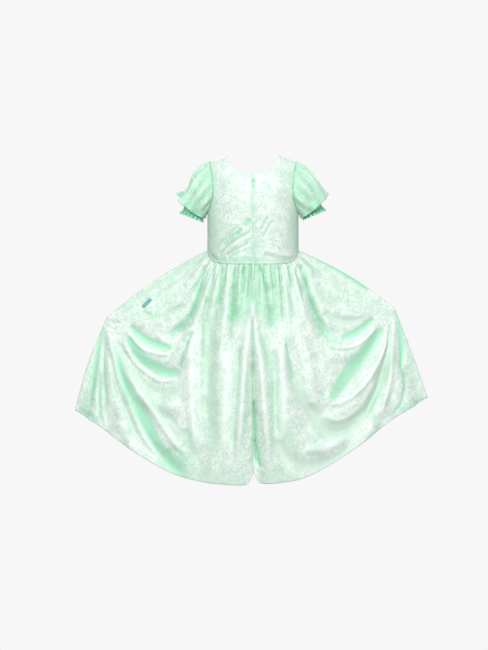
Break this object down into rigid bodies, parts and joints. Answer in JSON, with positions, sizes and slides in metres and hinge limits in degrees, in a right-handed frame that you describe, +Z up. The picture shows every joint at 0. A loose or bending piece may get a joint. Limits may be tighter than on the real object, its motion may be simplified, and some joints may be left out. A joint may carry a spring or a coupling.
{
  "type": "princess costume",
  "caption": "Child's short-sleeved princess dress in crushed velvet with gathered cuffs, a back zip and a gathered skirt held out at both sides.",
  "frame": {"origin": "midway between the two shoulder tips, at the height of the shoulders, where the wearer holds the dress up", "axes": "+Z up, +Y towards the back and its zip, +X towards the wearer's left"},
  "size_m": [0.8332, 0.2985, 0.7605],
  "materials": {
    "velvet": "crushed velvet",
    "satin": "matte satin",
    "zip": "lacquered",
    "label": "woven"
  },
  "bodies": {
    "garment": {"bodice_front": "velvet", "bodice_back_left": "velvet", "bodice_back_right": "velvet", "skirt_front": "velvet", "skirt_back_left": "velvet", "skirt_back_right": "velvet", "sleeve_left": "velvet", "sleeve_right": "velvet", "undersleeve_left": "satin", "undersleeve_right": "satin", "zip_chain": "zip", "zip_slider": "zip", "side_label": "label"},
    "zip_pull": {"zip_pull": "zip"}
  },
  "joints": [
    {"name": "zip_pull_hinge", "type": "hinge", "parent": "garment", "child": "zip_pull", "pos_m": [0, 0.0757, -0.05405], "axis": [1, 0, 0], "range_deg": [0, 160]}
  ]
}
